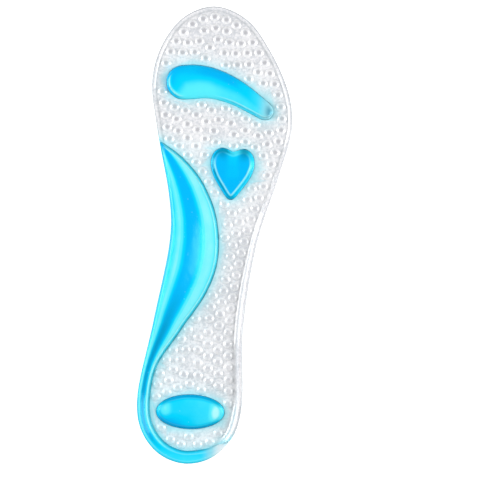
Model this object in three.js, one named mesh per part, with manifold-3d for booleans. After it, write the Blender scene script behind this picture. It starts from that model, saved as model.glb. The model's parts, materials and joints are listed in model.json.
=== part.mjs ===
// Cushioned gel insole for a right foot: a clear gel sheet with massage dots and a raised edge,
// and four blue gel cushions that seat in pockets in its upper side.
//
// Frame: millimetres, +Z up, +Y towards the toes, +X towards the little toe. The origin lies under
// the middle of the plan, on the surface that the insole rests on. Shapes are drawn from the back
// of the heel, and the whole group is moved to that origin at the end.

import * as THREE from 'three';
import { mergeVertices } from 'three/addons/utils/BufferGeometryUtils.js';
import { ParametricGeometry } from 'three/addons/geometries/ParametricGeometry.js';
import Module from 'manifold-3d';

const wasm = await Module();
wasm.setup();

// ---- Driving dimensions -------------------------------------------------------------------

// Plan of the sheet
const LENGTH = 245;          // back of the heel to the tip of the toes
const BALL_BREADTH = 76.7;   // widest place, across the ball of the foot
const WAIST_BREADTH = 46.6;  // under the arch
const SHANK_BREADTH = 48.2;  // between the arch and the heel
const HEEL_BREADTH = 56;
const HEEL_SHARE = 0.1265;   // the back of the heel is half an ellipse this share of the length deep
const SHANK_MIDDLE = 1.1;    // the middle of the plan swings to the little-toe side
const WAIST_MIDDLE = 5.3;
const BALL_MIDDLE = 3.5;

// Clear sheet
const SHEET = 2.75;          // thickness
const FLOOR = 1.25;          // gel left under a cushion
const TOE_RIM = 3.5;         // height of the edge round the toes
const TOE_RIM_WIDTH = 2.8;   // smooth border inside the outline there
const HEEL_RIM = 5.75;       // height of the edge along the little-toe side of the heel
const HEEL_RIM_WIDTH = 4.8;

// Massage dots
const DOT_RADIUS = 2.4;
const DOT_RISE = 1.0;
const DOT_PITCH = 6.1;       // least distance between the middles of two dots
const DOT_TO_RIM = 0.2;      // smooth gel left between a dot and the rim
const DOT_TO_POCKET = 0.4;

// Cushions
const CLEARANCE = 0.3;       // between a cushion's wall and its pocket
const LIP = 0.5;             // step from the sheet up to a cushion's edge
const ARCH_WIDTH = 27;       // widest place of the arch wedge
const ARCH_HEIGHT = 9.5;     // crest of the arch wedge
const BAND_WIDTH = 6.8;      // blue band round the heel
const BAND_HEIGHT = 6;
const HEART_LENGTH = 27.8;
const HEART_WIDTH = 23.6;
const HEEL_PAD_DEPTH = 18.6; // along the foot
const FOREFOOT_PAD_WIDE = 18.4;
const FOREFOOT_PAD_NARROW = 9.4;
const PAD_CROWN = 2.2;       // dome above a pad's edge

// Lands between features
const FLEX_TO_ARCH = 6.2;    // flex line to the tip of the arch wedge
const FLEX_TO_HEART = 7.2;
const FLEX_TO_FOREFOOT = 8.2;
const RIM_RUN_OUT = 10;      // the high edge has come down this far behind the flex line
const FOREFOOT_PAD_TO_BIG_TOE_EDGE = 7.6;
const FOREFOOT_PAD_TO_LITTLE_TOE_EDGE = 11;
const HEART_TO_ARCH = 5.4;
const HEEL_PAD_TO_BAND = 3.4;
const HEEL_PAD_TO_RIM = 8.4;
const HEEL_PAD_FROM_HEEL = 27.8;

// Flex joint
const FLEX_SHARE = 0.7245;   // place of the flex line along the length
const FLEX_GAP = 0.3;

// Facets
const OUTLINE_STEPS = 150;
const BAND_STEPS = 56;
const PAD_STEPS = 36;
const DOT_SIDES = 6;
const DOT_SEARCH = 0.7;      // how finely the bare sheet is searched for room for a dot
const CUTTER_HEIGHT = 30;    // taller than anything that it cuts
const OUTSIDE = 5;           // how far a cutter reaches past the outline

// ---- Colours and finishes -----------------------------------------------------------------

const clearGel = new THREE.MeshStandardMaterial({
  color: 0xe6e9ee, roughness: 0.15, metalness: 0, transparent: true, opacity: 0.7,
});
const blueGel = () => new THREE.MeshStandardMaterial({ color: 0x12c4ff, roughness: 0.12, metalness: 0 });

// ---- Helpers ------------------------------------------------------------------------------

const { clamp, lerp } = THREE.MathUtils;

// A value read off a list of [place, value] pairs, on a smooth curve through them.
function profile(pairs, place) {
  const last = pairs.length - 1;
  if (place <= pairs[0][0]) return pairs[0][1];
  if (place >= pairs[last][0]) return pairs[last][1];
  const next = pairs.findIndex(([at]) => at > place);
  const slope = (k) => {
    const [before, here, after] = [pairs[Math.max(k - 1, 0)], pairs[k], pairs[Math.min(k + 1, last)]];
    const turns = (here[1] - before[1]) * (after[1] - here[1]) < 0;
    const levels = k > 0 && k < last && (here[1] === before[1] || here[1] === after[1]);
    return turns || levels ? 0 : (after[1] - before[1]) / (after[0] - before[0]);
  };
  const [fromAt, from] = pairs[next - 1];
  const [toAt, to] = pairs[next];
  const span = toAt - fromAt;
  const t = (place - fromAt) / span;
  const ease = t * t * (3 - 2 * t);
  return lerp(from, to, ease)
    + span * t * (1 - t) * ((1 - t) * slope(next - 1) - t * slope(next));
}

// Shares from 0 up to but not including 1, in about the given number of steps.
const evenly = (steps) => Array.from({ length: Math.round(steps) }, (_, k) => k / Math.round(steps));

// A closed geometry as a solid, with its seams merged and its empty triangles dropped.
function solid(geometry) {
  const bare = geometry.index ? geometry.toNonIndexed() : geometry.clone();
  bare.deleteAttribute('normal');
  bare.deleteAttribute('uv');
  const merged = mergeVertices(bare, 1e-4);
  const triangles = [];
  const index = merged.index.array;
  for (let i = 0; i < index.length; i += 3) {
    const [a, b, c] = [index[i], index[i + 1], index[i + 2]];
    if (a !== b && b !== c && c !== a) triangles.push(a, b, c);
  }
  return new wasm.Manifold(new wasm.Mesh({
    numProp: 3,
    vertProperties: new Float32Array(merged.attributes.position.array),
    triVerts: new Uint32Array(triangles),
  }));
}

// A solid back as a mesh with a name and a finish.
function piece(name, body, material) {
  const mesh = body.getMesh();
  const geometry = new THREE.BufferGeometry();
  geometry.setAttribute('position', new THREE.BufferAttribute(new Float32Array(mesh.vertProperties), 3));
  geometry.setIndex(new THREE.BufferAttribute(new Uint32Array(mesh.triVerts), 1));
  geometry.computeVertexNormals();
  const result = new THREE.Mesh(geometry, material);
  result.name = name;
  return result;
}

// A prism over a plan, from one height to another.
function prism(plan, from, to) {
  const geometry = new THREE.ExtrudeGeometry(new THREE.Shape(plan), { depth: to - from, bevelEnabled: false });
  return solid(geometry.translate(0, 0, from));
}

// A body through closed sections: sectionAt(v) gives the corners of the loop at 0 <= v <= 1.
// A section whose corners are all one point closes the body there.
function loft(sectionAt, stacks, closed = false) {
  const sections = Array.from({ length: stacks + 1 }, (_, k) => sectionAt(closed ? (k % stacks) / stacks : k / stacks));
  const sides = sections[1].length;
  const surface = (u, v, target) => {
    target.copy(sections[Math.round(v * stacks)][Math.round(u * sides) % sides]);
  };
  return solid(new ParametricGeometry(surface, sides, stacks));
}

// ---- Plan of the sheet --------------------------------------------------------------------

const heelHalf = HEEL_BREADTH / 2;
const heelDeep = HEEL_SHARE * LENGTH;
const ballHalf = BALL_BREADTH / 2;

const heelPoint = (degrees) => {
  const angle = THREE.MathUtils.degToRad(degrees);
  return [heelHalf * Math.cos(angle), heelDeep * (1 + Math.sin(angle))];
};
const ballPoint = (across, along) => [BALL_MIDDLE + across * ballHalf, along * LENGTH];

const outline = new THREE.CatmullRomCurve3([
  ...[-90, -60, -30, 0].map(heelPoint),
  [SHANK_MIDDLE + SHANK_BREADTH / 2, 0.305 * LENGTH],
  [WAIST_MIDDLE + WAIST_BREADTH / 2, 0.495 * LENGTH],
  ballPoint(0.87, 0.64),
  ballPoint(1, 0.752),
  ballPoint(0.91, 0.825),
  ballPoint(0.6, 0.914),
  ballPoint(0.25, 0.976),
  ballPoint(-0.2, 1),
  ballPoint(-0.6, 0.975),
  ballPoint(-0.88, 0.915),
  ballPoint(-1, 0.832),
  ballPoint(-0.88, 0.728),
  [WAIST_MIDDLE - 0.5493 * WAIST_BREADTH, 0.575 * LENGTH],
  [WAIST_MIDDLE - WAIST_BREADTH / 2, 0.495 * LENGTH],
  [SHANK_MIDDLE - SHANK_BREADTH / 2, 0.305 * LENGTH],
  ...[180, 210, 240].map(heelPoint),
].map(([x, y]) => new THREE.Vector3(x, y, 0)), true, 'centripetal');
outline.arcLengthDivisions = 600;

// Place and inward direction at a share of the way round, from the back of the heel by the little toe.
function edgeAt(share) {
  const u = THREE.MathUtils.euclideanModulo(share, 1);
  const tangent = outline.getTangentAt(u);
  return { at: outline.getPointAt(u), inward: new THREE.Vector3(-tangent.y, tangent.x, 0) };
}
const edgePoint = (share, inset, z) => {
  const { at, inward } = edgeAt(share);
  return at.addScaledVector(inward, inset).setZ(z);
};
const edge = evenly(OUTLINE_STEPS).map((share) => edgePoint(share, 0, 0));
const perimeter = outline.getLength();

// The share of the way round, and the X, where the outline passes a given Y on one side.
function edgeShareAtY(y, bigToeSide) {
  const fine = 2000;
  for (let k = 1; k < fine / 2; k++) {
    const share = bigToeSide ? 1 - k / fine : k / fine;
    if (outline.getPointAt(share).y >= y) return share;
  }
  throw new Error(`the outline does not reach y = ${y}`);
}
const edgeX = (y, bigToeSide) => edgePoint(edgeShareAtY(y, bigToeSide), 0, 0).x;

const flexY = FLEX_SHARE * LENGTH;

// ---- Arch wedge and heel band -------------------------------------------------------------

// It runs from its tip by the big toe, back along the arch and round the heel to the far side.
const archTipShare = edgeShareAtY(flexY - FLEX_TO_ARCH, true);
const bandEndShare = 1 + edgeShareAtY(0.062 * LENGTH, false);
const bandRun = (bandEndShare - archTipShare) * perimeter;
const archShare = 0.57;                  // the wedge takes this much of the run, the band the rest

const bandShare = (v) => lerp(archTipShare, bandEndShare, v);
const extra = ARCH_WIDTH - BAND_WIDTH;
const widthStops = [
  [0, 0], [0.05, 0.37 * ARCH_WIDTH], [0.12, 0.7 * ARCH_WIDTH], [0.2, 0.91 * ARCH_WIDTH],
  [0.28, ARCH_WIDTH], [0.36, BAND_WIDTH + 0.86 * extra], [0.46, BAND_WIDTH + 0.42 * extra],
  [archShare - 0.02, BAND_WIDTH + 0.04 * extra], [archShare + 0.06, BAND_WIDTH],
  [0.88, BAND_WIDTH], [0.96, 0.6 * BAND_WIDTH], [1, 0],
];
const heightStops = [
  [0, SHEET + LIP], [0.12, lerp(SHEET, ARCH_HEIGHT, 0.55)], [0.27, ARCH_HEIGHT], [0.38, ARCH_HEIGHT],
  [archShare, BAND_HEIGHT], [0.94, BAND_HEIGHT], [1, HEEL_RIM],
];
const bandWidth = (v) => profile(widthStops, v);

// Corners of a section: share of the width from the outline, and share of the crest's height.
const archSection = [[0, 0.5], [0.05, 0.86], [0.2, 1], [0.42, 0.8], [0.68, 0.36], [0.9, 0.08]];

function bandSection(v) {
  if (v === 0 || v === 1) {
    const end = edgePoint(bandShare(v), 0, FLOOR);
    return Array.from({ length: archSection.length + 3 }, () => end);
  }
  const lip = SHEET + LIP;
  const rise = profile(heightStops, v) - lip;
  const share = bandShare(v);
  const width = bandWidth(v);
  return [
    edgePoint(share, 0, FLOOR),
    ...archSection.map(([across, up]) => edgePoint(share, across * width, lip + up * rise)),
    edgePoint(share, width, lip),
    edgePoint(share, width, FLOOR),
  ].reverse();
}

const archAndHeelBand = loft(bandSection, BAND_STEPS);

// Plan of the band's pocket: out past the outline on one side, a clearance past the band on the other.
function bandPlan(past) {
  const overrun = past / bandRun;
  const stops = Array.from({ length: BAND_STEPS + 1 }, (_, k) => lerp(-overrun, 1 + overrun, k / BAND_STEPS));
  const outside = stops.map((v) => edgePoint(bandShare(v), -OUTSIDE, 0));
  const inside = stops.map((v) => edgePoint(bandShare(v), bandWidth(clamp(v, 0, 1)) + past, 0));
  return [...outside, ...inside.reverse()];
}

// ---- Pads ---------------------------------------------------------------------------------

// Rings of a domed pad: share of the plan, and share of the crown above the pad's edge.
const domeRings = [[1, 0], [0.94, 0.3], [0.82, 0.62], [0.6, 0.87], [0.3, 0.98]];

// A pad whose plan is seen whole from its middle: the heart and the heel oval.
function domedPad(plan, middle) {
  const ring = (share, z) => plan.map((p) => new THREE.Vector3().lerpVectors(middle, p, share).setZ(z));
  const levels = [
    ring(0, FLOOR),
    ring(1, FLOOR),
    ...domeRings.map(([share, up]) => ring(share, SHEET + LIP + up * PAD_CROWN)),
    ring(0, SHEET + LIP + PAD_CROWN),
  ];
  return loft((v) => levels[Math.round(v * (levels.length - 1))], levels.length - 1);
}

// A plan grown outwards by the same distance all round, for a pocket.
function grown(plan, distance) {
  return plan.map((p, k) => {
    const before = plan[(k + plan.length - 1) % plan.length];
    const after = plan[(k + 1) % plan.length];
    const along = new THREE.Vector3().subVectors(after, before).normalize();
    return new THREE.Vector3(p.x + along.y * distance, p.y - along.x * distance, 0);
  });
}

// Heel pad: an oval that fills the heel between the band and the far rim.
const heelPadLeft = edgeX(HEEL_PAD_FROM_HEEL, true) + BAND_WIDTH + HEEL_PAD_TO_BAND;
const heelPadRight = edgeX(HEEL_PAD_FROM_HEEL, false) - HEEL_PAD_TO_RIM;
const heelPadMiddle = new THREE.Vector3((heelPadLeft + heelPadRight) / 2, HEEL_PAD_FROM_HEEL, 0);
const heelPadTurn = THREE.MathUtils.degToRad(4);
const heelPadPlan = evenly(PAD_STEPS).map((share) => {
  const angle = share * 2 * Math.PI;
  const point = new THREE.Vector3(
    (heelPadRight - heelPadLeft) / 2 * Math.cos(angle), HEEL_PAD_DEPTH / 2 * Math.sin(angle), 0);
  return point.applyAxisAngle(new THREE.Vector3(0, 0, 1), heelPadTurn).add(heelPadMiddle);
});

// Heart pad: half of its outline as shares of its half width and half length, tip first.
const heartHalf = [[0.12, -0.97], [0.5, -0.56], [0.87, -0.04], [1, 0.42], [0.86, 0.82], [0.52, 1], [0.2, 0.93]];
const heartTurn = THREE.MathUtils.degToRad(1.4);
const heartY = flexY - FLEX_TO_HEART - HEART_LENGTH / 2;
function archEdgeX(y) {
  const inner = evenly(400).map((v) => edgePoint(bandShare(v), bandWidth(v), 0));
  return Math.max(...inner.filter((p) => Math.abs(p.y - y) < 2).map((p) => p.x));
}
const heartLow = 0.28 * HEART_LENGTH;    // the place on the heart that comes nearest to the arch wedge
const heartX = archEdgeX(heartY - heartLow) + HEART_TO_ARCH + 0.32 * HEART_WIDTH;
const heartMiddle = new THREE.Vector3(heartX, heartY, 0);
const heartCurve = new THREE.CatmullRomCurve3([
  [0, -1], ...heartHalf, [0, 0.86], ...heartHalf.map(([x, y]) => [-x, y]).reverse(),
].map(([x, y]) => new THREE.Vector3(x * HEART_WIDTH / 2, y * HEART_LENGTH / 2, 0)
  .applyAxisAngle(new THREE.Vector3(0, 0, 1), heartTurn).add(heartMiddle)), true, 'centripetal');
const heartPlan = heartCurve.getSpacedPoints(PAD_STEPS + 12).slice(0, -1);

// Forefoot pad: a bean round a curved spine, wide by the big toe and narrow by the little toe.
const foreY = flexY + FLEX_TO_FOREFOOT;
const foreSpineLow = FOREFOOT_PAD_NARROW / 4;   // the low end of the spine, above the foot of the pad
const foreLeft = edgeX(foreY + FOREFOOT_PAD_WIDE, true) + FOREFOOT_PAD_TO_BIG_TOE_EDGE;
const foreRight = edgeX(foreY, false) - FOREFOOT_PAD_TO_LITTLE_TOE_EDGE;
const foreRun = foreRight - foreLeft;
const foreSpine = new THREE.CatmullRomCurve3([
  [0, 0.86], [0.12, 0.92], [0.38, 1], [0.62, 0.79], [0.84, 0.39], [1, 0.06],
].map(([across, up]) => new THREE.Vector3(
  foreLeft + across * foreRun,
  lerp(foreY + foreSpineLow, foreY + FOREFOOT_PAD_WIDE, up), 0)), false, 'centripetal');
const foreLength = foreSpine.getLength();

function foreHalfWidth(v) {
  const body = lerp(FOREFOOT_PAD_WIDE, FOREFOOT_PAD_NARROW, clamp((v - 0.25) / 0.7, 0, 1)) / 2;
  const roundEnd = (distance, radius) => {
    const short = 1 - clamp(distance / radius, 0, 1);
    return Math.sqrt(1 - short * short);
  };
  return body * roundEnd(v * foreLength, FOREFOOT_PAD_WIDE / 2)
    * roundEnd((1 - v) * foreLength, FOREFOOT_PAD_NARROW / 2);
}
function forePoint(v, across, z) {
  const along = foreSpine.getTangentAt(v);
  return foreSpine.getPointAt(v).add(new THREE.Vector3(-along.y, along.x, 0).multiplyScalar(across)).setZ(z);
}
const endCrowded = (share) => (1 - Math.cos(share * Math.PI)) / 2;   // sections closer together at both ends
const foreSection = [[1, 0], [0.82, 0.5], [0.5, 0.87], [0, 1], [-0.5, 0.87], [-0.82, 0.5], [-1, 0]];

const forefootPad = loft((share) => {
  if (share === 0 || share === 1) {
    const end = forePoint(share, 0, FLOOR);
    return Array.from({ length: foreSection.length + 2 }, () => end);
  }
  const v = endCrowded(share);
  const half = foreHalfWidth(v);
  const crown = PAD_CROWN * Math.min(1, 2 * half / FOREFOOT_PAD_NARROW);
  return [
    forePoint(v, half, FLOOR),
    ...foreSection.map(([across, up]) => forePoint(v, across * half, SHEET + LIP + up * crown)),
    forePoint(v, -half, FLOOR),
  ];
}, 24);

const foreStops = Array.from({ length: 41 }, (_, k) => endCrowded(k / 40));
const forePlan = [
  ...foreStops.map((v) => forePoint(v, -foreHalfWidth(v), 0)),
  ...foreStops.slice(1, -1).reverse().map((v) => forePoint(v, foreHalfWidth(v), 0)),
];

// ---- Clear sheet --------------------------------------------------------------------------

// The edge stands a little above the sheet round the toes and rises along the far side of the heel.
const highRimEnd = edgeShareAtY(0.33 * LENGTH, false);
const highRimGone = edgeShareAtY(flexY - RIM_RUN_OUT, false);
const rimHeight = (share) => profile([[highRimEnd, HEEL_RIM], [highRimGone, TOE_RIM]], share);
const rimWidth = (share) => profile([[highRimEnd, HEEL_RIM_WIDTH], [highRimGone, TOE_RIM_WIDTH]], share);
const rimSection = [[0, 0.55], [0.16, 1], [0.42, 0.9], [1, 0]];

const rimRing = loft((share) => {
  const rise = rimHeight(share) - SHEET;
  const width = rimWidth(share);
  return [
    edgePoint(share, 0, 0),
    ...rimSection.map(([across, up]) => edgePoint(share, across * width, SHEET + up * rise)),
    edgePoint(share, width, 0),
  ].reverse();
}, OUTLINE_STEPS, true);

const pocketPlans = [bandPlan(CLEARANCE), grown(heelPadPlan, CLEARANCE), grown(heartPlan, CLEARANCE),
  grown(forePlan, CLEARANCE)];

// Distance from a place to the nearest side of a plan, and whether the place lies inside the plan.
function toPlan(place, plan) {
  let nearest = Infinity;
  let inside = false;
  plan.forEach((a, k) => {
    const b = plan[(k + 1) % plan.length];
    const run = new THREE.Vector3().subVectors(b, a);
    const share = clamp(new THREE.Vector3().subVectors(place, a).dot(run) / run.lengthSq(), 0, 1);
    nearest = Math.min(nearest, place.distanceTo(a.clone().addScaledVector(run, share)));
    if ((a.y > place.y) !== (b.y > place.y) && place.x < a.x + run.x * (place.y - a.y) / run.y) inside = !inside;
  });
  return { nearest, inside };
}

// Dots fill the bare sheet row by row, each row a little further in from the rim than the last.
function dotPlaces() {
  const places = [];
  for (let row = 0; row < BALL_BREADTH / 2; row += DOT_SEARCH) {
    for (const share of evenly(perimeter / DOT_SEARCH)) {
      const place = edgePoint(share, rimWidth(share) + DOT_RADIUS + DOT_TO_RIM + row, 0);
      const clearOfDots = places.every((other) => other.distanceTo(place) > DOT_PITCH);
      const clearOfFlex = Math.abs(place.y - flexY) > DOT_RADIUS + FLEX_GAP;
      if (!clearOfDots || !clearOfFlex) continue;
      const fromEdge = toPlan(place, edge);
      const onSheet = fromEdge.inside && fromEdge.nearest > TOE_RIM_WIDTH + DOT_RADIUS;
      const clearOfPockets = pocketPlans.every((plan) => {
        const fromPocket = toPlan(place, plan);
        return !fromPocket.inside && fromPocket.nearest > DOT_RADIUS + DOT_TO_POCKET;
      });
      if (onSheet && clearOfPockets) places.push(place);
    }
  }
  return places;
}

// A dot is sunk into the sheet by as much as it stands above it.
const dotTop = 0.5 * DOT_RADIUS;
const dotFoot = 2 * DOT_RADIUS - dotTop;
const dot = solid(new THREE.CylinderGeometry(dotTop, dotFoot, 2 * DOT_RISE, DOT_SIDES).rotateX(Math.PI / 2));
const dots = dotPlaces().map((place) => dot.translate([place.x, place.y, SHEET]));

const pockets = pocketPlans.map((plan) => prism(plan, FLOOR, CUTTER_HEIGHT));
const sheet = wasm.Manifold.union([prism(edge, 0, SHEET), rimRing, ...dots]).subtract(wasm.Manifold.union(pockets));

// The real sheet is one moulding that bends at the flex line. Here it is two bodies with a gap there.
const halfPlan = (from, to) => [[-LENGTH, from], [LENGTH, from], [LENGTH, to], [-LENGTH, to]]
  .map(([x, y]) => new THREE.Vector2(x, y));
const rearHalf = prism(halfPlan(-LENGTH, flexY - FLEX_GAP / 2), -1, CUTTER_HEIGHT);
const frontHalf = prism(halfPlan(flexY + FLEX_GAP / 2, 2 * LENGTH), -1, CUTTER_HEIGHT);

// ---- Assembly -----------------------------------------------------------------------------

const insole = new THREE.Group();
insole.add(
  piece('gel_base_rear', sheet.intersect(rearHalf), clearGel),
  piece('gel_base_front', sheet.intersect(frontHalf), clearGel.clone()),
  piece('arch_and_heel_band', archAndHeelBand, blueGel()),
  piece('heel_pad', domedPad(heelPadPlan, heelPadMiddle), blueGel()),
  piece('metatarsal_heart_pad', domedPad(heartPlan, heartMiddle), blueGel()),
  piece('forefoot_pad', forefootPad, blueGel()),
);

// Bring the middle of the plan over the origin.
const plan = new THREE.Box3().setFromPoints(edge);
const middle = plan.getCenter(new THREE.Vector3());
insole.position.set(-middle.x, -middle.y, 0);

export default insole;
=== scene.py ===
# %% [markdown]
# # A cushioned gel insole
# This insole is a two-colour gel moulding: a clear sheet with massage dots and a raised edge, and
# four blue cushions that sit in pockets in it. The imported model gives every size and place. Here
# each piece gets its fine shape and its gel finish, one after the other.

# %% Load the frame
import json
import math

import bmesh
import bpy
import numpy as np
from mathutils import Matrix, Vector
from mathutils.bvhtree import BVHTree


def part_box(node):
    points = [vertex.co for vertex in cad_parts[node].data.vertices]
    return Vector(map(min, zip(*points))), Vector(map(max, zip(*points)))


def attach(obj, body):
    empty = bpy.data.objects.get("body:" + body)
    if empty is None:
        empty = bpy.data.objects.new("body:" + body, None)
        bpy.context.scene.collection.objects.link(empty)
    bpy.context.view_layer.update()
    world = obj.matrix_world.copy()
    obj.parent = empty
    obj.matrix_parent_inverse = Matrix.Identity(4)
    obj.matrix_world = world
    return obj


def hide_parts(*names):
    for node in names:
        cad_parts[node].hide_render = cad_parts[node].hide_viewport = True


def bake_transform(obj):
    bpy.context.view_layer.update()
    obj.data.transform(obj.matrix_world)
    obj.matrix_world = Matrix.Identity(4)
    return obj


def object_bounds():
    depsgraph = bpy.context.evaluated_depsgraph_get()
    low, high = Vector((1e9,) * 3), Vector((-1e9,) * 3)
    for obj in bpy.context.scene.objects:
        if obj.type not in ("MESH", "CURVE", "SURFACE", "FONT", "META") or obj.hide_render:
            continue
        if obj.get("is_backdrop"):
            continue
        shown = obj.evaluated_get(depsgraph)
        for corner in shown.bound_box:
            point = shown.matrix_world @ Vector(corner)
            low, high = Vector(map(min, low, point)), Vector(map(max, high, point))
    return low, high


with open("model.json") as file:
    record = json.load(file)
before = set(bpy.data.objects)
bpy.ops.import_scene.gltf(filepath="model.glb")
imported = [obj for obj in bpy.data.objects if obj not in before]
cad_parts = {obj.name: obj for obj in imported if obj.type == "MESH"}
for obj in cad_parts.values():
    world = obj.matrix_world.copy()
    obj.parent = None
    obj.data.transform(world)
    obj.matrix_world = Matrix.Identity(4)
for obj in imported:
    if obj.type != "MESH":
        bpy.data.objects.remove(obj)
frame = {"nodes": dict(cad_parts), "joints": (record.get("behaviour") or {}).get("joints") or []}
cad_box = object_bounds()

MM = 0.001
WELD = 0.002 * MM             # corners nearer than this are one corner
LEVEL = 0.01 * MM             # heights nearer than this are one height
scene = bpy.context.scene


# %% [markdown]
# ## Reading a plan off the frame
# Every solid here stands on a flat underside, and the edge of that underside is the plan of the
# piece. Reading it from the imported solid, rather than drawing it again, keeps the fine shape on the
# model's own lines. The solid's plan has straight facets a few millimetres long, so a smooth closed
# curve is run through its corners.

# %% Plans
def merged(node):
    """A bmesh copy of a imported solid, whose loose triangles are joined at their corners."""
    bm = bmesh.new()
    bm.from_mesh(frame["nodes"][node].data)
    bmesh.ops.remove_doubles(bm, verts=bm.verts, dist=WELD)
    return bm


def underside_loop(node):
    """The corners round a solid's flat underside, in order and anticlockwise from above."""
    bm = merged(node)
    bm.faces.ensure_lookup_table()
    low = min(v.co.z for v in bm.verts)
    flat = {f for f in bm.faces if f.normal.z < -0.9 and f.calc_center_median().z < low + LEVEL}
    following = {}
    for f in flat:
        for loop in f.loops:
            if not any(other in flat for other in loop.edge.link_faces if other is not f):
                # seen from above a face that looks down runs clockwise, so its edges are turned round
                following[loop.link_loop_next.vert.index] = loop.vert.index
    bm.verts.ensure_lookup_table()
    # the rearmost corner comes first, so that every run of the script gives the same points
    start = here = min(following, key=lambda i: (bm.verts[i].co.y, bm.verts[i].co.x))
    order = [start]
    while following[here] != start:
        here = following[here]
        order.append(here)
    points = np.array([bm.verts[i].co[:2] for i in order])
    bm.free()
    return points


CURVE_PARTS = 8               # a smooth curve is worked out at this many places per facet


def smooth_loop(points, step):
    """A closed smooth curve through points, as points a given step apart."""
    before, after, later = np.roll(points, 1, 0), np.roll(points, -1, 0), np.roll(points, -2, 0)
    fine = []
    for t in np.linspace(0, 1, CURVE_PARTS, endpoint=False):
        fine.append(0.5 * (2 * points + (after - before) * t
                           + (2 * before - 5 * points + 4 * after - later) * t**2
                           + (3 * points - before - 3 * after + later) * t**3))
    curve = np.stack(fine, 1).reshape(-1, 2)
    closed = np.vstack([curve, curve[:1]])
    run = np.concatenate([[0], np.cumsum(np.linalg.norm(np.diff(closed, axis=0), axis=1))])
    places = np.linspace(0, run[-1], max(int(run[-1] / step), 8), endpoint=False)
    return np.stack([np.interp(places, run, closed[:, k]) for k in range(2)], 1)


def inward(points):
    """Unit directions into a plan at each of its points."""
    along = np.roll(points, -1, 0) - np.roll(points, 1, 0)
    along /= np.linalg.norm(along, axis=1)[:, None]
    return np.stack([-along[:, 1], along[:, 0]], 1)


def to_plan(places, plan):
    """The distance from each place to the nearest side of a plan, negative outside it."""
    a, b = plan, np.roll(plan, -1, 0)
    run = b - a
    nearest = np.full(len(places), np.inf)
    inside = np.zeros(len(places), bool)
    for (ax, ay), (bx, by), (rx, ry) in zip(a, b, run):
        share = ((places[:, 0] - ax) * rx + (places[:, 1] - ay) * ry) / (rx * rx + ry * ry)
        share = np.clip(share, 0, 1)
        gap = np.hypot(places[:, 0] - ax - share * rx, places[:, 1] - ay - share * ry)
        nearest = np.minimum(nearest, gap)
        if ay != by:
            crosses = ((ay > places[:, 1]) != (by > places[:, 1])) & (
                places[:, 0] < ax + rx * (places[:, 1] - ay) / ry)
            inside ^= crosses
    return np.where(inside, nearest, -nearest)


flex = next(j for j in frame["joints"] if j["name"] == "toe_flex")
flex_y = flex["pos_m"][1]
CUT_HALF = 0.2 * MM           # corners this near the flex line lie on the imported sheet's cut

rear_loop = underside_loop("gel_base_rear")
front_loop = underside_loop("gel_base_front")


def opened(loop, pick):
    """A half's loop without its cut, from the end of the cut that pick finds to the other end."""
    on_cut = np.abs(loop[:, 1] - flex_y) < CUT_HALF
    start = pick(np.where(on_cut)[0], key=lambda i: loop[i, 0])
    turned = np.roll(loop, -start, 0)
    return turned[np.abs(turned[:, 1] - flex_y) >= CUT_HALF]


OUTLINE_STEP = 1.2 * MM
outline = smooth_loop(np.vstack([opened(rear_loop, min), opened(front_loop, max)]), OUTLINE_STEP)
print("outline", len(outline), "points", np.round(np.ptp(outline, axis=0) / MM, 2), "mm")

CUSHION_NODES = ("forefoot_pad", "metatarsal_heart_pad", "heel_pad", "arch_and_heel_band")
PLAN_STEP = 0.8 * MM
plans = {node: smooth_loop(underside_loop(node), PLAN_STEP) for node in CUSHION_NODES}
for node, plan in plans.items():
    print(node, len(plan), "points", np.round(np.ptp(plan, axis=0) / MM, 1), "mm")

# %% [markdown]
# ## Heights
# The sheet's thickness, the pocket floor and the height of the edge are read off the solids too: a
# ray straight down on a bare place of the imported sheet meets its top.

# %% Heights
RAY_START = 1.0               # metres, well above everything


def top_finder(*nodes):
    """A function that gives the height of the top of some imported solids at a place, or None."""
    trees = []
    for node in nodes:
        bm = merged(node)
        trees.append(BVHTree.FromBMesh(bm))
        bm.free()

    def top(x, y):
        hits = [tree.ray_cast(Vector((x, y, RAY_START)), Vector((0, 0, -1)))[0] for tree in trees]
        return max((hit.z for hit in hits if hit), default=None)

    return top


base_top = top_finder("gel_base_rear", "gel_base_front")
low, high = np.array(cad_box)
PROBE_STEP = 2.2 * MM
across_sheet, along_sheet = (np.arange(low[k], high[k], PROBE_STEP) for k in range(2))
probe = [base_top(x, y) for x in across_sheet for y in along_sheet]
heights, counts = np.unique(np.round([z for z in probe if z], 5), return_counts=True)
pocket_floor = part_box("heel_pad")[0][2]
bare = heights > pocket_floor + 0.1 * MM
sheet_top = float(heights[bare][np.argmax(counts[bare])])
print("pocket floor", round(pocket_floor / MM, 3), "sheet top", round(sheet_top / MM, 3))

RIM_REACH = 1.1 * MM          # the edge is at its highest about this far inside the outline
rim_height = np.array([base_top(*p) or 0 for p in outline + inward(outline) * RIM_REACH])
band_edge = rim_height < sheet_top
print("edge height", round(rim_height[~band_edge].min() / MM, 2), "to", round(rim_height.max() / MM, 2),
      "mm;", band_edge.sum(), "places under the band")

# %% [markdown]
# ## The clear sheet
# The real sheet is one moulding: flat below, with a rounded edge that stands a little above the
# sheet round the toes and rises along the far side of the heel. A loop of edges is laid along the
# outline for each level of that profile, and the loops are bridged into bands of faces. Laying
# loops suits an edge whose height changes along the way, where a bevel would give one size all round.

# %% The sheet's body
def loop_edges(bm, points, heights):
    """A closed loop of edges through points in plan, at a height for each."""
    verts = [bm.verts.new((x, y, z)) for (x, y), z in zip(points, heights)]
    return [bm.edges.new((a, b)) for a, b in zip(verts, verts[1:] + verts[:1])]


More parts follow.
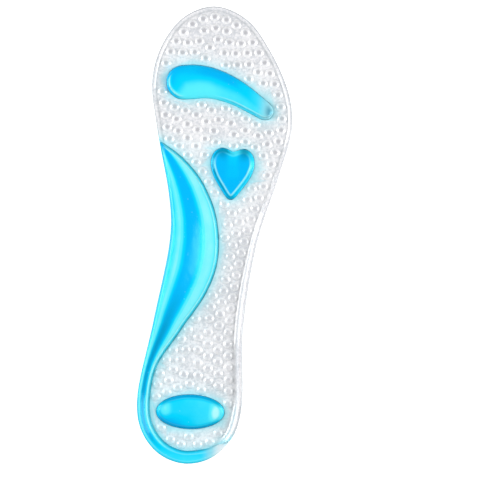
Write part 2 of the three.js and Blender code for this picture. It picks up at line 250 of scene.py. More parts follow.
def to_object(name, bm):
    """A new object of the scene from a bmesh, which is then freed."""
    mesh = bpy.data.meshes.new(name)
    bm.to_mesh(mesh)
    bm.free()
    obj = bpy.data.objects.new(name, mesh)
    scene.collection.objects.link(obj)
    return obj


def applied(obj):
    """Replaces a piece's mesh by what its modifiers make of it, and returns the new mesh."""
    bpy.context.view_layer.update()
    made = bpy.data.meshes.new_from_object(obj.evaluated_get(bpy.context.evaluated_depsgraph_get()))
    obj.modifiers.clear()
    obj.data = made
    made.name = obj.name
    return made


def smoothed(values, reach):
    """Values round a loop, each averaged with its neighbours within reach."""
    kernel = np.hanning(2 * reach + 3)[1:-1]
    ring = np.concatenate([values[-reach:], values, values[:reach]])
    return np.convolve(ring, kernel / kernel.sum(), "valid")


RIM_SMOOTHING = 6             # points on each side that the edge's height is averaged over

# Where the band takes the edge's place, the edge's height is carried across from its neighbours.
known = np.where(~band_edge)[0]
rim_full = np.interp(np.arange(len(outline)), known, rim_height[known], period=len(outline))
rise = smoothed(rim_full, RIM_SMOOTHING) - sheet_top
toe_rise, heel_rise = rise.min(), rise.max()
TOE_RIM_WIDTH, HEEL_RIM_WIDTH = 2.8 * MM, 4.8 * MM
rim_width = np.interp(rise, [toe_rise, heel_rise], [TOE_RIM_WIDTH, HEEL_RIM_WIDTH])

# Share of the width inside the outline, share of the sheet's thickness, share of the rise above it.
RIM_PROFILE = [
    (0.12, 0.0, 0.0), (0.02, 0.05, 0.0), (0.0, 0.18, 0.0), (0.0, 1.0, 0.3), (0.02, 1.0, 0.62),
    (0.08, 1.0, 0.86), (0.19, 1.0, 0.98), (0.3, 1.0, 1.0), (0.42, 1.0, 0.92), (0.58, 1.0, 0.62),
    (0.72, 1.0, 0.3), (0.86, 1.0, 0.08), (1.0, 1.0, 0.0),
]
bm = bmesh.new()
into = inward(outline)
rings = [loop_edges(bm, outline + into * (inset * rim_width)[:, None], thick * sheet_top + up * rise)
         for inset, thick, up in RIM_PROFILE]
for below, above in zip(rings, rings[1:]):
    bmesh.ops.bridge_loops(bm, edges=below + above)
bm.faces.new([edge.verts[0] for edge in rings[0]])
bm.faces.new([edge.verts[0] for edge in rings[-1]])
bmesh.ops.recalc_face_normals(bm, faces=bm.faces)
print("sheet body", len(bm.verts), "points", len(bm.faces), "faces")
sheet = to_object("gel_base", bm)

# %% [markdown]
# ## Massage dots
# The dots are low domes with a steep flank and a slightly sunk middle, moulded with the sheet. They
# stand in rows that follow the edge, one row inside the other. So the search for room starts beside
# the edge and works inwards, and a dot goes wherever it keeps its distance from those already there.
# One dot is made from a circle by extruding its edges inwards ring by ring, and copies of it are
# joined to the sheet, so light meets one surface and no buried walls.

# %% Places of the dots
DOT_RADIUS = 2.75 * MM
DOT_RISE = 1.1 * MM
DOT_PITCH = 6.05 * MM         # least distance between the middles of two dots
DOT_TO_RIM = 0.1 * MM
DOT_TO_CUSHION = 0.1 * MM
SEARCH_STEP = 0.6 * MM        # how finely the bare sheet is searched for room for a dot

fine_edge = smooth_loop(outline, SEARCH_STEP)
fine_into = inward(fine_edge)
edge_run = np.linspace(0, len(outline), len(fine_edge), endpoint=False)
fine_rim_width = np.interp(edge_run, np.arange(len(outline)), rim_width, period=len(outline))
first_row = fine_rim_width + DOT_RADIUS + DOT_TO_RIM
half_width = np.ptp(outline[:, 0]) / 2
places = np.vstack([fine_edge + fine_into * (first_row + row)[:, None]
                    for row in np.arange(0, half_width, SEARCH_STEP)])
fits = to_plan(places, outline) > TOE_RIM_WIDTH + DOT_RADIUS
for plan in plans.values():
    fits &= to_plan(places, plan) < -(DOT_RADIUS + DOT_TO_CUSHION)
places = places[fits]
dots = []
while len(places):
    dots.append(places[0])
    places = places[np.hypot(*(places - places[0]).T) > DOT_PITCH]
print(len(dots), "dots")

# %% One dot, copied
DOT_SIDES = 20
# Share of the radius and of the rise, from the foot to the middle; the foot is sunk in the sheet.
DOT_PROFILE = [(1.0, -0.4), (1.0, 0.0), (0.96, 0.12), (0.86, 0.36), (0.74, 0.6),
               (0.62, 0.82), (0.52, 0.95), (0.42, 1.0), (0.3, 0.96), (0.14, 0.88)]


def dot_bmesh():
    """One closed dot with its middle at the origin."""
    bm = bmesh.new()
    first_share, first_up = DOT_PROFILE[0]
    bmesh.ops.create_circle(bm, cap_ends=True, radius=DOT_RADIUS * first_share, segments=DOT_SIDES)
    bmesh.ops.translate(bm, verts=bm.verts[:], vec=(0, 0, DOT_RISE * first_up))
    edges = bm.edges[:]
    for (share, up), (next_share, next_up) in zip(DOT_PROFILE, DOT_PROFILE[1:]):
        grown = bmesh.ops.extrude_edge_only(bm, edges=edges)["geom"]
        verts = [g for g in grown if isinstance(g, bmesh.types.BMVert)]
        edges = [g for g in grown if isinstance(g, bmesh.types.BMEdge)]
        bmesh.ops.scale(bm, verts=verts, vec=(next_share / share, next_share / share, 1))
        bmesh.ops.translate(bm, verts=verts, vec=(0, 0, DOT_RISE * (next_up - up)))
    bmesh.ops.contextual_create(bm, geom=edges)
    bmesh.ops.recalc_face_normals(bm, faces=bm.faces)
    return bm


one_dot = bpy.data.meshes.new("one_dot")
bm = dot_bmesh()
bm.to_mesh(one_dot)
bm.free()
bm = bmesh.new()
for x, y in dots:
    before = len(bm.verts)
    bm.from_mesh(one_dot)
    bm.verts.ensure_lookup_table()
    bmesh.ops.translate(bm, verts=bm.verts[before:], vec=(x, y, sheet_top))
dot_field = to_object("dot_field", bm)
print("dot field", len(dot_field.data.polygons), "faces")

# %% [markdown]
# ## Pockets
# Each cushion sits in a pocket cut from the sheet's top, a hair wider than the cushion's plan. The
# cutter is the plan, filled and extruded. A boolean does the cutting, because the pocket walls have
# to meet the rim, the dots and the flat top cleanly wherever they cross.

# %% Cut the pockets
POCKET_GAP = 0.05 * MM
CUTTER_TOP = 20 * MM


def prism(bm, plan, bottom, top):
    """A closed prism over a plan."""
    edges = loop_edges(bm, plan, np.full(len(plan), bottom))
    floor = bm.faces.new([edge.verts[0] for edge in edges])
    raised = bmesh.ops.extrude_face_region(bm, geom=[floor])["geom"]
    verts = [g for g in raised if isinstance(g, bmesh.types.BMVert)]
    bmesh.ops.translate(bm, verts=verts, vec=(0, 0, top - bottom))


def combined(target, tool, operation):
    """Joins tool to target or cuts it out of target, and uses tool up."""
    step = target.modifiers.new(operation, "BOOLEAN")
    step.operation = operation
    step.solver = "MANIFOLD"
    step.object = tool
    applied(target)
    bpy.data.objects.remove(tool)


bm = bmesh.new()
for plan in plans.values():
    prism(bm, plan - inward(plan) * POCKET_GAP, pocket_floor, CUTTER_TOP)
bmesh.ops.recalc_face_normals(bm, faces=bm.faces)
cutters = to_object("cutters", bm)
combined(sheet, dot_field, "UNION")
print("sheet with dots", len(sheet.data.polygons), "faces")
combined(sheet, cutters, "DIFFERENCE")
print("sheet with pockets", len(sheet.data.polygons), "faces")

# %% [markdown]
# ## Room to bend
# The sheet bends at the ball of the foot. A bend needs points to turn about, so the sheet is cut
# through by parallel planes across the zone that bends, which leaves its shape as it is.

# %% Rows of points across the flex zone
FLEX_HALF = 13 * MM
FLEX_ROWS = 18
ON_PLANE = 0.001 * MM         # points nearer a plane than this are taken to lie on it
SHARP_DEGREES = 34
flex_start = (0.0, flex_y - FLEX_HALF, 0.0)
flex_end = (0.0, flex_y + FLEX_HALF, 0.0)


def sliced(bm):
    """Cuts a bmesh through by evenly spaced planes across the flex zone."""
    for y in np.linspace(flex_start[1], flex_end[1], FLEX_ROWS):
        bmesh.ops.bisect_plane(bm, geom=bm.verts[:] + bm.edges[:] + bm.faces[:], dist=ON_PLANE,
                               plane_co=(0, y, 0), plane_no=(0, 1, 0))


def shade(obj, sharp_degrees):
    """Smooth shading that keeps edges sharper than an angle."""
    obj.data.shade_smooth()
    obj.data.set_sharp_from_angle(angle=math.radians(sharp_degrees))


bm = bmesh.new()
bm.from_mesh(sheet.data)
sliced(bm)
# slicing leaves points and faces in any order, so both are put in order of their places
for parts, place in ((bm.verts, lambda v: v.co[:]), (bm.faces, lambda f: f.calc_center_median()[:])):
    for rank, part in enumerate(sorted(parts, key=place)):
        part.index = rank
    parts.sort()
bm.to_mesh(sheet.data)
bm.free()
shade(sheet, SHARP_DEGREES)
print("sheet ready to bend:", len(sheet.data.polygons), "faces")

# %% [markdown]
# ## Cushions
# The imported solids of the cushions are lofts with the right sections, but with coarse facets. A copy
# of each is joined up, its pairs of triangles are turned back into four-sided faces, and two levels
# of subdivision round it. The rim of the underside is creased, so it keeps its plan. Subdivision
# pulls a crest inwards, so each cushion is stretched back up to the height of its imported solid.

# %% Four cushions
SUBDIVISIONS = 2
JOIN_FOLD = math.radians(60)      # two triangles may fold by this much and still be joined
JOIN_SHAPE = math.radians(150)    # how far a joined face's corners may be from square


def cushion(node, name):
    """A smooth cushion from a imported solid."""
    bm = merged(node)
    bmesh.ops.join_triangles(bm, faces=bm.faces[:], angle_face_threshold=JOIN_FOLD,
                             angle_shape_threshold=JOIN_SHAPE)
    crease = bm.edges.layers.float.new("crease_edge")
    low_z = min(v.co.z for v in bm.verts)
    for edge in bm.edges:
        flat = [f for f in edge.link_faces if f.normal.z < -0.95]
        if len(flat) == 1 and all(v.co.z < low_z + LEVEL for v in edge.verts):
            edge[crease] = 1.0
    quads = sum(len(f.verts) == 4 for f in bm.faces)
    print(node, "faces", len(bm.faces), "four-sided", quads)
    obj = to_object(name, bm)
    step = obj.modifiers.new("round", "SUBSURF")
    step.levels = step.render_levels = SUBDIVISIONS
    made = applied(obj)
    cad_low, cad_high = (corner[2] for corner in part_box(node))
    stretch = (cad_high - cad_low) / (max(v.co.z for v in made.vertices) - cad_low)
    to_floor = Matrix.Translation((0, 0, cad_low))
    made.transform(to_floor @ Matrix.Diagonal((1, 1, stretch, 1)) @ to_floor.inverted())
    print(name, "stretched up by", round(stretch, 3), "to", round(cad_high / MM, 2), "mm")
    obj.data.shade_smooth()
    return obj


forefoot = cushion("forefoot_pad", "forefoot_cushion")
heart = cushion("metatarsal_heart_pad", "heart_cushion")
arch = cushion("arch_and_heel_band", "arch_cushion")
heel = cushion("heel_pad", "heel_cushion")

# %% [markdown]
# ## Values on the surfaces
# Gel has no printed pattern: its colour changes where it is thicker and where two colours of gel
# touch, and painted highlights, painted shade and a painted cyan glow stand in for the light on its
# domes, walls and grooves and beside the cushions. Those places follow the plans of the pieces, so
# they are worked out here once for every point and kept on the meshes. The finishes then only have
# to read them.

# %% Helpers for values
def painted(obj, **values):
    """Named values on a piece's points, for its material to read."""
    for name, numbers in values.items():
        layer = obj.data.attributes.new(name, "FLOAT", "POINT")
        layer.data.foreach_set("value", np.asarray(numbers, np.float32))
        print(obj.name, name, np.round([np.min(numbers), np.max(numbers)], 2))


def points_of(obj):
    """A piece's points, as rows of X, Y and Z."""
    flat = np.empty(len(obj.data.vertices) * 3, np.float32)
    obj.data.vertices.foreach_get("co", flat)
    return flat.reshape(-1, 3).astype(float)


def ramp_up(values, start, end):
    """0 up to start, 1 from end on, and a smooth rise between them."""
    t = np.clip((np.asarray(values) - start) / (end - start), 0, 1)
    return t * t * (3 - 2 * t)


def bump_at(values, middle, half):
    """1 at middle, falling smoothly to 0 on both sides."""
    return 1 - ramp_up(np.abs(values - middle), 0, half)


def to_curve(places, curve):
    """The distance from each place to the nearest point of a fine curve."""
    return np.min([np.hypot(places[:, 0] - x, places[:, 1] - y) for x, y in curve], axis=0)


def across(places, plan, first_tip, last_tip):
    """How far each place lies across a long plan: 0 on the side from the first tip, 1 on the other."""
    turned = np.roll(plan, -first_tip, 0)
    split = (last_tip - first_tip) % len(plan)
    near, far = to_curve(places, turned[:split + 1]), to_curve(places, turned[split:])
    return near / (near + far)


def share(values):
    """Values as shares of their own range."""
    return (values - values.min()) / np.ptp(values)


def in_plan(obj, node):
    """A cushion's points seen from above, its plan, and how far inside its edge each point is."""
    co, plan = points_of(obj)[:, :2], plans[node]
    return co, plan, np.maximum(to_plan(co, plan), 0)


# %% Values for the sheet
TOP_SKIN = 0.05 * MM          # points less than this below the sheet's top count as on it
# painted cyan glow: the cushions' light carried into the clear gel beside them
HALO = 2.4 * MM               # how far the cushions' cyan reaches into the clear gel
CORE_INNER, CORE_OUTER = 0.25 * DOT_RADIUS, 0.58 * DOT_RADIUS
FLANK_MIDDLE, FLANK_HALF = 0.78 * DOT_RADIUS, 0.24 * DOT_RADIUS
# the painted shade at the foot of the edge keeps this far from a cushion
FOOT_TO_BLUE = 0.3 * MM       # the dark foot of the edge stops this far from a cushion

co = points_of(sheet)
to_dot = to_curve(co[:, :2], np.array(dots))
on_top = co[:, 2] > sheet_top - TOP_SKIN
# painted shade in the sunk middle of each dot
dot_core = np.where(on_top, 1 - ramp_up(to_dot, CORE_INNER, CORE_OUTER), 0)
dot_core *= 0.5 + 0.5 * ramp_up(co[:, 1], 0.0, 0.06)    # half as strong in the rear half of the sheet
# painted highlight: a bright ring on each dot's flank, where the softboxes' reflection falls
dot_flank = np.where(on_top, bump_at(to_dot, FLANK_MIDDLE, FLANK_HALF), 0)
from_blue = np.min([-to_plan(co[:, :2], plan) for plan in plans.values()], axis=0)
from_outline = to_plan(co[:, :2], outline)
edge_at = np.argmin(np.hypot(co[:, :1] - outline[:, 0], co[:, 1:2] - outline[:, 1]), axis=1)
rim_share = from_outline / rim_width[edge_at]
painted(sheet, dot_core=dot_core, dot_flank=dot_flank, rim_share=np.clip(rim_share, 0, 2),
        # painted cyan glow beside the cushions
        halo=np.exp(-np.maximum(from_blue, 0) / HALO),
        # painted shade at the foot of the raised edge
        rim_foot=bump_at(rim_share, 0.8, 0.3) * (from_blue > FOOT_TO_BLUE))

# %% [markdown]
# ## Values for the cushions
# Each cushion gets the same five values, so one blue finish serves all four. tone is 0
# for the deep blue of thick gel and 1 for the light cyan of thin gel; painted highlights raise it,
# past 1 in places, and painted shade lowers it. fade is 1 where the blue runs out to clear. dark
# marks painted shade: at steep walls, in grooves, on the heart's lobes and at tips. line says how
# clearly the thin painted highlight and shade lines beside the wall show, and to_line is the
# distance in from the edge as a share of the highlight line's place.

# %% Values for the forefoot cushion
# the light line is a painted highlight over a small raised bump; the dark line between it and the edge is
# painted shade over a small groove
LIGHT_LINE = 1.7 * MM         # from a cushion's edge to the light line on its shoulder
HEART_LIGHT_LINE = 2.4 * MM   # the heart has a broader wall

co, plan, from_edge = in_plan(forefoot, "forefoot_pad")
side = across(co, plan, np.argmax(plan[:, 0]), np.argmin(plan[:, 0]))
along = share(co[:, 0])
# painted glow: lighter towards the edge on the heel's side, less so towards the right tip
thin = 0.75 - 0.2 * ramp_up(along, 0.35, 0.6)
tone = 0.25 + thin * ramp_up(side + 0.1 * along, 0.2, 0.8)
# painted shade: a darker band near the toe-side edge
tone -= 0.3 * bump_at(side, 0.2, 0.25) * ramp_up(along, 0.1, 0.5)
tone = np.maximum(tone * ramp_up(along, -0.04, 0.22), 0.7 * ramp_up(along, 0.5, 0.88))
# painted highlights: a light crescent just inside the left end, and a light arc at the very tip
left_end = (1 - ramp_up(along, 0.08, 0.2)) * ramp_up(side, 0.25, 0.5)
tone += 0.7 * left_end * bump_at(from_edge, 2.0 * MM, 1.2 * MM) + 0.4 * bump_at(along, 0.985, 0.03)
painted(forefoot, to_line=from_edge / LIGHT_LINE, tone=tone, fade=0.6 * ramp_up(along, 0.8, 0.98),
        # painted shade: a dark spot near the tip and a thin dark line along the toe-side edge
        dark=(0.7 * bump_at(along, 0.96, 0.06) * bump_at(side, 0.5, 0.4)
              + 0.1 * bump_at(side, 0.0, 0.12)),
        line=np.maximum(left_end, 0.9 * ramp_up(along, 0.4, 0.7) * ramp_up(side, 0.6, 0.75)))

# %% Values for the heart cushion
co, _, from_edge = in_plan(heart, "metatarsal_heart_pad")
along, beside = share(co[:, 1]), np.abs(2 * share(co[:, 0]) - 1)
notch = (1 - ramp_up(beside, 0.05, 0.4)) * ramp_up(along, 0.6, 0.95)
little_toe_side = share(co[:, 0])
wall = 1 - ramp_up(from_edge, 2.0 * MM, 3.2 * MM)
# painted shade on the two top lobes, at the tip and along the wall on the arch side
lobes = bump_at(beside, 0.5, 0.4) * ramp_up(along, 0.7, 0.95)
arch_wall = bump_at(from_edge, 1.4 * MM, 0.9 * MM) * (1 - ramp_up(little_toe_side, 0.3, 0.55))
tip = (1 - ramp_up(along, 0.0, 0.12)) * (1 - ramp_up(beside, 0.1, 0.3))
tone = 0.3 * bump_at(beside, 0.1, 0.55) * ramp_up(along, 0.15, 0.5) - 0.1 + 0.2 * notch
# the wall is lighter: thinner gel, and a painted highlight that is stronger on the little-toe side
tone += (0.35 + 0.35 * ramp_up(little_toe_side, 0.4, 0.8)) * wall
painted(heart, to_line=from_edge / HEART_LIGHT_LINE, tone=np.clip(tone, 0, 1),
        dark=np.clip(0.8 * lobes + 0.6 * tip + 0.75 * arch_wall, 0, 0.75),
        fade=np.zeros(len(co)), line=0.15 + 0.85 * (1 - ramp_up(along, 0.55, 0.85)))

# %% Values for the arch cushion and its band
co, plan, from_edge = in_plan(arch, "arch_and_heel_band")
behind = np.where(plan[:, 1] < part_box("heel_pad")[1][1], plan[:, 0], -1)
side = across(co, plan, np.argmax(plan[:, 1]), np.argmax(behind))
round_heel = ramp_up(-co[:, 1], 0.104, 0.119)
band_end = ramp_up(co[:, 0], 0.003, 0.017) * ramp_up(-co[:, 1], 0.085, 0.1)
in_band = ramp_up(-co[:, 1], 0.02, 0.06) * (1 - round_heel) * (1 - band_end)
# light band inside the inner edge: thinner gel with a painted highlight
inner_light = ramp_up(side, 0.55, 0.75) * (1 - 0.2 * ramp_up(side, 0.85, 0.95))
# painted highlight: a light band along the outer crest, up to the gleam past 1
tone = 1.2 * np.maximum(bump_at(side, 0.2, 0.19), inner_light)
tone = tone * (1 - round_heel) + (0.75 - 0.2 * side) * round_heel
wall = (1 - ramp_up(from_edge, 0.4 * MM, 1.0 * MM)) * (1 - band_end)
painted(arch, to_line=from_edge / LIGHT_LINE, tone=tone, fade=band_end,
        # painted shade down the middle of the band and along the edge
        dark=0.6 * bump_at(side, 0.45, 0.22) * in_band + 0.6 * wall,
        line=(0.25 + 0.75 * ramp_up(side, 0.5, 0.7) * (1 - round_heel)) * (1 - band_end))

# %% Values for the heel cushion
co, _, from_edge = in_plan(heel, "heel_pad")
beside = np.abs(2 * share(co[:, 0]) - 1)
left_share, up = share(-co[:, 0]), share(co[:, 1])
# painted highlights: a spot near each end, softer on the left
spots = bump_at(beside, 0.74, 0.24) * bump_at(up, 0.55, 0.4) * (1 - 0.4 * left_share)
low_corner = (1 - ramp_up(up, 0.15, 0.5)) * ramp_up(left_share, 0.3, 0.8)
wall = (1 - ramp_up(from_edge, 0.4 * MM, 3 * MM)) * (1 - ramp_up(beside, 0.75, 0.95))
# lighter towards the right and darker towards the lower left, with painted shade along the top and bottom
# walls
tone = 0.5 + 0.3 * (1 - left_share) + 0.9 * spots - 0.6 * wall - 0.45 * low_corner
painted(heel, to_line=from_edge / LIGHT_LINE, tone=tone, dark=0.45 * wall,
        fade=np.zeros(len(co)), line=np.full(len(co), 0.1))

# %% [markdown]
# ## Finishes
# Both gels are the same soft, glossy, slightly tacky rubber, so both read one shared texture: a fine
# unevenness left by the mould, patches that are a little duller from handling, and a few tiny bubbles.
# The clear gel has painted shade in the sunk middles of its dots, at the foot of its raised edge,
# along its outline and wherever it is seen edge on, a painted highlight on its dot flanks, and a
# painted cyan glow beside the cushions. The blue gel runs from deep blue to light cyan with its
# depth, with painted highlights and shade laid in, and its wall shows thin painted light and dark
# lines, over a small bump, where it turns into the top.

# %% Helpers for materials
def principled(name, colour, roughness, transmission, **sockets):
    """A new material whose Principled shader has these constants."""
    material = bpy.data.materials.new(name)
    material.use_nodes = True
    shader = material.node_tree.nodes["Principled BSDF"]
    sockets = {"Base Color": (*colour, 1), "Roughness": roughness,
               "Transmission Weight": transmission, **sockets}
    for socket, value in sockets.items():
        shader.inputs[socket].default_value = value
    return material


class Nodes:
    """Short ways to add nodes to one tree."""

    def __init__(self, tree):
        self.tree = tree

    def add(self, kind, inputs=(), **settings):
        node = self.tree.nodes.new(kind)
        for key, value in settings.items():
            setattr(node, key, value)
        for key, value in dict(inputs).items():
            self.feed(node.inputs[key], value)
        return node

    def feed(self, socket, value):
        if isinstance(value, bpy.types.NodeSocket):
            self.tree.links.new(value, socket)
        else:
            socket.default_value = value

    def math(self, operation, *values):
        return self.add("ShaderNodeMath", dict(enumerate(values)), operation=operation).outputs[0]

    def times(self, *values):
        return self.math("MULTIPLY", *values)

    def facing(self):
        return self.add("ShaderNodeLayerWeight", {"Blend": 0.5}).outputs["Facing"]

    def read(self, name):
        return self.add("ShaderNodeAttribute", attribute_name=name).outputs["Fac"]

    def rise(self, value, start, end, low=0.0, high=1.0):
        ends = {"Value": value, "From Min": start, "From Max": end, "To Min": low, "To Max": high}
        return self.add("ShaderNodeMapRange", ends, interpolation_type="SMOOTHSTEP").outputs["Result"]

    def blend(self, factor, a, b):
        colours = {k: (*v, 1) if isinstance(v, tuple) else v for k, v in ((6, a), (7, b))}
        return self.add("ShaderNodeMix", {"Factor": factor, **colours}, data_type="RGBA").outputs[2]


def stripe(n, value, middle, half):
    """1 where a value is at middle, smoothly 0 from half away."""
    return n.rise(n.math("ABSOLUTE", n.math("SUBTRACT", value, middle)), 0.0, half, 1.0, 0.0)


# %% The texture both gels share
CLOUD_SCALE, GRAIN_SCALE, CELL_SCALE = 90.0, 900.0, 380.0     # features per metre
CLOUD_HEIGHT, GRAIN_HEIGHT, BUBBLE_HEIGHT = 0.12, 0.035, 0.012     # mm

gel_texture = bpy.data.node_groups.new("gel_texture", "ShaderNodeTree")
interface = gel_texture.interface
interface.new_socket("Height", in_out="INPUT", socket_type="NodeSocketFloat")
for name in ("Roughness", "Bubbles", "Cloud", "Grain"):
    interface.new_socket(name, in_out="OUTPUT", socket_type="NodeSocketFloat")
interface.new_socket("Normal", in_out="OUTPUT", socket_type="NodeSocketVector")
n = Nodes(gel_texture)
given, result = n.add("NodeGroupInput"), n.add("NodeGroupOutput")
place = n.add("ShaderNodeTexCoord").outputs["Object"]
cloud = n.add("ShaderNodeTexNoise", {"Vector": place, "Scale": CLOUD_SCALE, "Detail": 3.0}).outputs["Fac"]
grain = n.add("ShaderNodeTexNoise", {"Vector": place, "Scale": GRAIN_SCALE, "Detail": 4.0}).outputs["Fac"]
cells = n.add("ShaderNodeTexVoronoi", {"Vector": place, "Scale": CELL_SCALE})
cell_value = n.add("ShaderNodeSeparateColor", {0: cells.outputs["Color"]}).outputs[0]
chosen = n.math("GREATER_THAN", cell_value, 0.8)   # a bubble in one cell of five
bubbles = n.times(n.rise(cells.outputs["Distance"], 0.08, 0.16, 1.0, 0.0), chosen)
height = n.math("ADD", n.times(grain, GRAIN_HEIGHT), n.times(cloud, CLOUD_HEIGHT))
height = n.math("ADD", height, n.times(bubbles, BUBBLE_HEIGHT))
height = n.math("ADD", height, given.outputs["Height"])
bump = n.add("ShaderNodeBump", {"Height": height, "Strength": 1.0, "Distance": MM})
handling = n.math("ADD", n.times(grain, 0.4), cloud)
n.feed(result.inputs["Roughness"], n.rise(handling, 0.45, 0.95, 0.08, 0.18))
for name, value in (("Bubbles", bubbles), ("Cloud", cloud), ("Grain", grain)):
    n.feed(result.inputs[name], value)
n.feed(result.inputs["Normal"], bump.outputs["Normal"])
print("shared group:", len(gel_texture.nodes), "nodes")


def textured(material, height=0.0):
    """A material's tree with the shared texture wired in, and the group node to read masks from."""
    n = Nodes(material.node_tree)
    group = n.add("ShaderNodeGroup", node_tree=gel_texture)
    n.feed(group.inputs["Height"], height)
    shader = material.node_tree.nodes["Principled BSDF"]
    n.feed(shader.inputs["Roughness"], group.outputs["Roughness"])
    n.feed(shader.inputs["Normal"], group.outputs["Normal"])
    return n, shader, group


# %% [markdown]
# ## Clear gel
# Clear gel this thin would show the floor as glass does, yet the real one is milky with tiny flaws.
# A little transmission under a pale base colour gives that look. The colour is laid on in turn:
# milky patches, a painted highlight on the dot flanks, painted shade in the dot middles, at the
# foot of the edge, along the outline and where the gel is seen edge on, a painted cyan glow where
# the cushions' light reaches into the gel beside them, and tiny bubbles.

# %% The clear finish
GEL_IOR = 1.45
MILK, DULL_MILK, WHITE = (0.94, 0.93, 0.95), (0.68, 0.7, 0.74), (1.0, 1.0, 1.0)
# colours of painted highlights and painted shade on the clear gel, and of its painted cyan glow
BRIGHT_FLANK, DARK_CORE = (0.98, 0.98, 0.98), (0.52, 0.52, 0.55)
DARK_FOOT, DARK_EDGE = (0.45, 0.48, 0.5), (0.3, 0.33, 0.35)
EDGE_ON, CYAN_HALO = (0.36, 0.4, 0.43), (0.3, 0.82, 0.92)

clear = principled("clear_gel_finish", (0.9, 0.9, 0.92), 0.15, 0.15,
                   **{"IOR": GEL_IOR, "Coat Weight": 1.0, "Coat Roughness": 0.05})
n, shader, group = textured(clear)
patches = n.times(group.outputs["Cloud"], 0.35)
mottle = n.math("ADD", patches, n.times(group.outputs["Grain"], 0.65))
colour = n.blend(n.rise(mottle, 0.4, 0.62), MILK, DULL_MILK)
# painted highlight on the dot flanks
colour = n.blend(n.times(n.read("dot_flank"), 0.8), colour, BRIGHT_FLANK)
# painted shade in the dot middles
colour = n.blend(n.read("dot_core"), colour, DARK_CORE)
# painted shade at the foot of the raised edge
colour = n.blend(n.times(n.read("rim_foot"), 0.6), colour, DARK_FOOT)
# painted shade along the outline, where the coat is also taken off
edge = n.rise(n.read("rim_share"), 0.1, 0.28, 1.0, 0.0)
colour = n.blend(n.times(edge, 0.8), colour, DARK_EDGE)
n.feed(shader.inputs["Coat Weight"], n.math("SUBTRACT", 1.0, edge))
# painted shade where the clear gel is seen edge on
facing = n.facing()
colour = n.blend(n.rise(facing, 0.3, 0.95, 0.0, 0.8), colour, EDGE_ON)
# painted cyan glow beside the cushions
colour = n.blend(n.times(n.read("halo"), 0.85), colour, CYAN_HALO)
colour = n.blend(n.times(group.outputs["Bubbles"], 0.35), colour, WHITE)
n.feed(shader.inputs["Base Color"], colour)
print(clear.name, "has", len(clear.node_tree.nodes), "nodes")

# %% [markdown]
# ## Blue gel
# The blue gel carries its own dye, so its colour deepens with its thickness. Four blues are blended
# along tone, which also carries painted highlights and shade; then the painted light
# and dark lines beside the wall, the run-out to clear and the painted shade are laid over them.
# White reflections would turn this blue lavender, so the shader tints its reflections cyan.

# %% The blue finish
DEEP, MIDDLE = (0.0, 0.5, 0.97), (0.0, 0.68, 1.0)
# LIGHT is thin gel; GLEAM is the colour of painted highlights
LIGHT, GLEAM = (0.1, 0.87, 1.0), (0.45, 0.98, 1.0)
# colours of painted shade: in grooves, at walls and where the gel is seen edge on
GROOVE, SHADE, BLUE_EDGE_ON = (0.0, 0.3, 0.6), (0.0, 0.22, 0.36), (0.0, 0.5, 0.8)
PALE_BLUE, NEARLY_CLEAR = (0.38, 0.74, 0.82), (0.78, 0.87, 0.9)
BLUE_BUBBLE = (0.6, 0.95, 1.0)

blue = principled("blue_gel_finish", MIDDLE, 0.12, 0.12,
                  **{"IOR": GEL_IOR, "Specular Tint": (0.25, 0.85, 1.0, 1.0)})
n = Nodes(blue.node_tree)
to_line = n.read("to_line")
line = n.read("line")
shoulder = stripe(n, to_line, 1.0, 0.32)
groove = stripe(n, to_line, 0.5, 0.3)
raised, sunk = n.times(shoulder, 0.22), n.times(groove, 0.2)
n, shader, group = textured(blue, n.times(n.math("SUBTRACT", raised, sunk), line))
patches = n.times(n.math("SUBTRACT", group.outputs["Cloud"], 0.5), 0.25)
tone = n.math("ADD", n.read("tone"), patches)
colour = n.blend(n.rise(tone, 0.5, 1.0), n.blend(n.rise(tone, 0.0, 0.5), DEEP, MIDDLE), LIGHT)
# painted highlight where tone passes 1
colour = n.blend(n.rise(tone, 1.0, 1.5), colour, GLEAM)
# painted highlight along the wall's shoulder, over the bump
colour = n.blend(n.times(n.times(shoulder, line), 0.7), colour, GLEAM)
# painted shade in the groove between the shoulder and the edge, over the bump
colour = n.blend(n.times(n.times(groove, line), 0.4), colour, GROOVE)
facing = n.facing()
# painted shade where the blue gel is seen edge on
colour = n.blend(n.rise(facing, 0.3, 0.95, 0.0, 0.4), colour, BLUE_EDGE_ON)
fade = n.read("fade")
colour = n.blend(n.rise(fade, 0.0, 0.6, 0.0, 0.8), colour, PALE_BLUE)
colour = n.blend(n.rise(fade, 0.5, 1.0), colour, NEARLY_CLEAR)
colour = n.blend(n.read("dark"), colour, SHADE)
colour = n.blend(n.times(group.outputs["Bubbles"], 0.12), colour, BLUE_BUBBLE)
n.feed(shader.inputs["Base Color"], colour)
print(blue.name, "has", len(blue.node_tree.nodes), "nodes")

# %% Each piece gets its gel
for obj in (sheet, forefoot, heart, arch, heel):
    obj.data.materials.clear()
    obj.data.materials.append(clear if obj is sheet else blue)
    print(obj.name, "has", obj.data.materials[0].name)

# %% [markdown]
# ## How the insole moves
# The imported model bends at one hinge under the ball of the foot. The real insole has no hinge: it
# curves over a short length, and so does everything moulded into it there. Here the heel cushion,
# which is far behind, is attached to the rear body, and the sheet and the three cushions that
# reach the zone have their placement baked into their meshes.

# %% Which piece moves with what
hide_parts("gel_base_rear", "gel_base_front")
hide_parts("forefoot_pad")
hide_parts("metatarsal_heart_pad")
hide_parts("arch_and_heel_band")
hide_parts("heel_pad")
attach(heel, "rear_section")
for piece in (sheet, forefoot, heart, arch):
    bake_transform(piece)
print("bends from", round(flex_start[1] / MM, 1), "to", round(flex_end[1] / MM, 1), "mm along the foot")
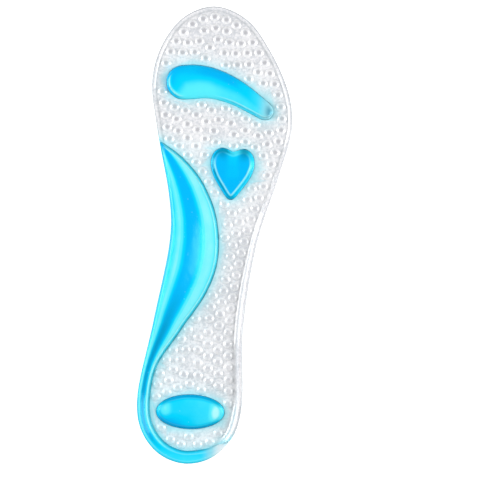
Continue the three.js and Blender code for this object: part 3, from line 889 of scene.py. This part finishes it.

# %% [markdown]
# ## Floor, light and camera
# A plain white floor and two low, wide softboxes, one on each side, show gel well: each dot then
# has a bright flank to the left and right, which a painted highlight on the flanks makes brighter
# still. The floor gives off a little light of its own, because light that shines through a clear
# piece would otherwise leave a grey ring round it.

# %% Floor, light and camera
FLOOR_HALF = 6.0              # metres
WORLD_STRENGTH = 0.3
SOFTBOX_SIZE, SOFTBOX_POWER = (0.5, 1.4), 16     # metres and watts
CAMERA_PLACE, CAMERA_TURN, LENS_MM = (0.0159, -0.0008, 0.716), math.radians(5), 100

bm = bmesh.new()
bmesh.ops.create_grid(bm, x_segments=1, y_segments=1, size=FLOOR_HALF)
floor = to_object("floor", bm)
glow = {"Emission Color": (1, 1, 1, 1), "Emission Strength": 0.45}
floor.data.materials.append(principled("floor_paper", (0.96, 0.96, 0.96), 0.9, 0.0, **glow))
floor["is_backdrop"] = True

world = bpy.data.worlds.new("studio")
scene.world = world
world.use_nodes = True
background = world.node_tree.nodes["Background"]
background.inputs["Color"].default_value = (1, 1, 1, 1)
background.inputs["Strength"].default_value = WORLD_STRENGTH


def softbox(name, place):
    """A rectangular lamp that faces the insole."""
    data = bpy.data.lights.new(name, "AREA")
    data.shape = "RECTANGLE"
    data.size, data.size_y = SOFTBOX_SIZE
    data.energy = SOFTBOX_POWER
    lamp = bpy.data.objects.new(name, data)
    lamp.location = place
    lamp.rotation_euler = (-Vector(place)).to_track_quat("-Z", "Y").to_euler()
    scene.collection.objects.link(lamp)


softbox("left_softbox", (-0.9, 0.05, 0.26))
softbox("right_softbox", (0.9, 0.05, 0.26))

scene.view_settings.view_transform = "Standard"
camera_data = bpy.data.cameras.new("camera")
camera = bpy.data.objects.new("camera", camera_data)
camera.location = CAMERA_PLACE
camera.rotation_euler = (0, 0, CAMERA_TURN)
camera_data.lens = LENS_MM
scene.collection.objects.link(camera)
scene.camera = camera
print("camera", round(camera.location.z / MM), "mm above the floor")

# %% [markdown]
# ## Sizes, and the end
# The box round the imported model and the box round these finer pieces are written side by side. They
# should differ by a fraction of a millimetre: the looks may round a facet off, but not change a size.

# %% Sizes, and the end
sizes = {"cad": cad_box, "visual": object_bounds()}
sizes = {name: [[float(c) for c in corner] for corner in box] for name, box in sizes.items()}
for name, box in sizes.items():
    print(name, "box", np.round(np.ptp(box, axis=0) / MM, 2), "mm")
